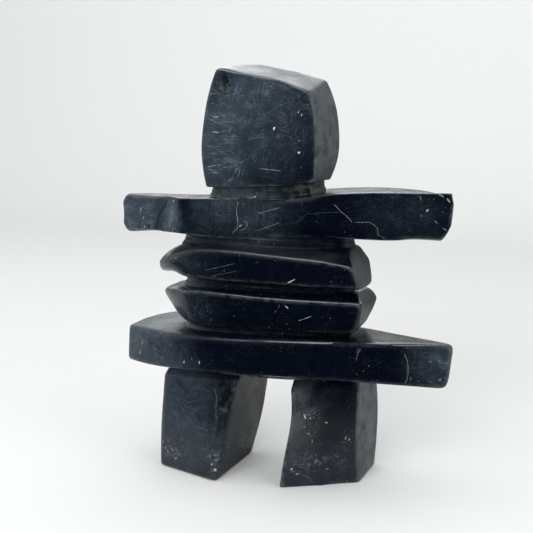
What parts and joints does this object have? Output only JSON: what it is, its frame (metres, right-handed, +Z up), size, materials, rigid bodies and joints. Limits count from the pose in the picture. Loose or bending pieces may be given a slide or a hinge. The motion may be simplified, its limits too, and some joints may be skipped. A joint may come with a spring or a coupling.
{
  "type": "stone cairn",
  "caption": "Carved stone cairn in the shape of a standing figure: legs, hips, waist, arms and head as slabs joined by narrow necks, all cut from the same block.",
  "frame": {"origin": "on the ground, at the middle of the footprint of the bounding box", "axes": "+Z up through the head; +X along the arms, to the right as the front is seen; the front faces -Y"},
  "size_m": [0.2184, 0.0781, 0.2581],
  "materials": {
    "stone": "dark blue-black serpentine, hand rubbed to a satin gloss, with file marks and white nicks; rough and unpolished in the necks"
  },
  "bodies": {
    "root": {"carved_cairn": "stone"}
  },
  "joints": []
}
